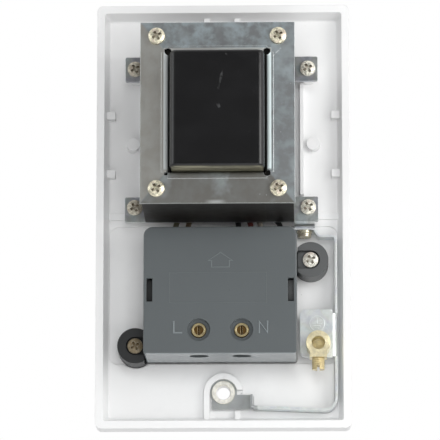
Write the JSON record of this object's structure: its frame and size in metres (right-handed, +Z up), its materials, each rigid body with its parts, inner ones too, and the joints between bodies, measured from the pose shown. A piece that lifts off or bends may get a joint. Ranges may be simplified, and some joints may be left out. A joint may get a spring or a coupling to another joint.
{
  "type": "shaver socket",
  "caption": "Wall shaver supply unit seen from its wiring side: moulded tray plate, isolating transformer, snap-together socket housing with terminals, and earth strap.",
  "frame": {"origin": "halfway between the two fixing holes, on the back face of the pads round them", "axes": "+Z up the wall, +Y from the front plate into the wall box, +X across the plate, to the right as seen from the front"},
  "size_m": [0.086, 0.0538, 0.146],
  "materials": {
    "tray_plastic": "satin moulded",
    "insert_plastic": "satin moulded",
    "base_plastic": "matt moulded",
    "cover_plastic": "matt moulded",
    "shutter_plastic": "matt moulded",
    "spring_steel": "drawn wire",
    "switch_plastic": "matt moulded",
    "plunger_plastic": "matt moulded",
    "contact_brass": "pressed",
    "terminal_brass": "machined",
    "terminal_screw_brass": "machined",
    "core_steel": "varnished laminations",
    "core_cap_steel": "varnished laminations",
    "cover_steel": "pressed and zinc plated",
    "feet_steel": "pressed and zinc plated",
    "screw_zinc": "yellow zinc plated",
    "foot_screw_zinc": "yellow zinc plated",
    "ear_screw_zinc": "yellow zinc plated",
    "nut_zinc": "zinc plated",
    "strap_screw_zinc": "machined",
    "tape_black": "glossy tape",
    "bobbin_plastic": "matt moulded",
    "winding_copper": "enamelled wire",
    "cutout_black": "sleeved",
    "strap_zinc": "zinc plated",
    "eyelet_brass": "pressed",
    "lug_brass": "machined",
    "lug_screw_brass": "machined",
    "lead_yellow": "insulated",
    "lead_orange": "insulated",
    "lead_black": "insulated",
    "lead_red": "insulated",
    "lead_white": "insulated"
  },
  "bodies": {
    "unit": {"front_plate": "tray_plastic", "outlet_insert": "insert_plastic", "housing_base": "base_plastic", "housing_cover": "cover_plastic", "housing_screws": "ear_screw_zinc", "live_terminal": "terminal_brass", "neutral_terminal": "terminal_brass", "terminal_screws": "terminal_screw_brass", "outlet_contact_1": "contact_brass", "outlet_contact_2": "contact_brass", "outlet_contact_3": "contact_brass", "outlet_contact_4": "contact_brass", "shutter_spring": "spring_steel", "switch_body": "switch_plastic", "core_e_stack": "core_steel", "core_i_stack": "core_cap_steel", "bobbin": "bobbin_plastic", "primary_winding": "winding_copper", "secondary_winding": "winding_copper", "coil_tape": "tape_black", "thermal_cutout": "cutout_black", "top_cover": "cover_steel", "feet_plate": "feet_steel", "core_screws": "screw_zinc", "core_nuts": "nut_zinc", "feet_screws": "foot_screw_zinc", "earth_strap": "strap_zinc", "fixing_eyelet": "eyelet_brass", "earth_lug": "lug_brass", "earth_lug_screw": "lug_screw_brass", "strap_screw": "strap_screw_zinc", "primary_lead_1": "lead_yellow", "primary_lead_2": "lead_orange", "secondary_lead_1": "lead_black", "secondary_lead_2": "lead_red", "secondary_lead_3": "lead_white", "secondary_lead_4": "lead_black"},
    "shutter": {"shutter_slide": "shutter_plastic"},
    "plunger": {"switch_plunger": "plunger_plastic"}
  },
  "joints": [
    {"name": "shutter_travel", "type": "slide", "parent": "unit", "child": "shutter", "axis": [1, 0, 0], "range_m": [0, 0.006], "stiffness_N_per_m": 60, "springref_m": -0.008, "deforming": ["shutter_spring"]},
    {"name": "plunger_travel", "type": "slide", "parent": "unit", "child": "plunger", "axis": [0, 0, 1], "range_m": [0, 0.0013]}
  ],
  "couplings": [
    {"joint": "plunger_travel", "follows": "shutter_travel", "ratio": 0.2}
  ]
}
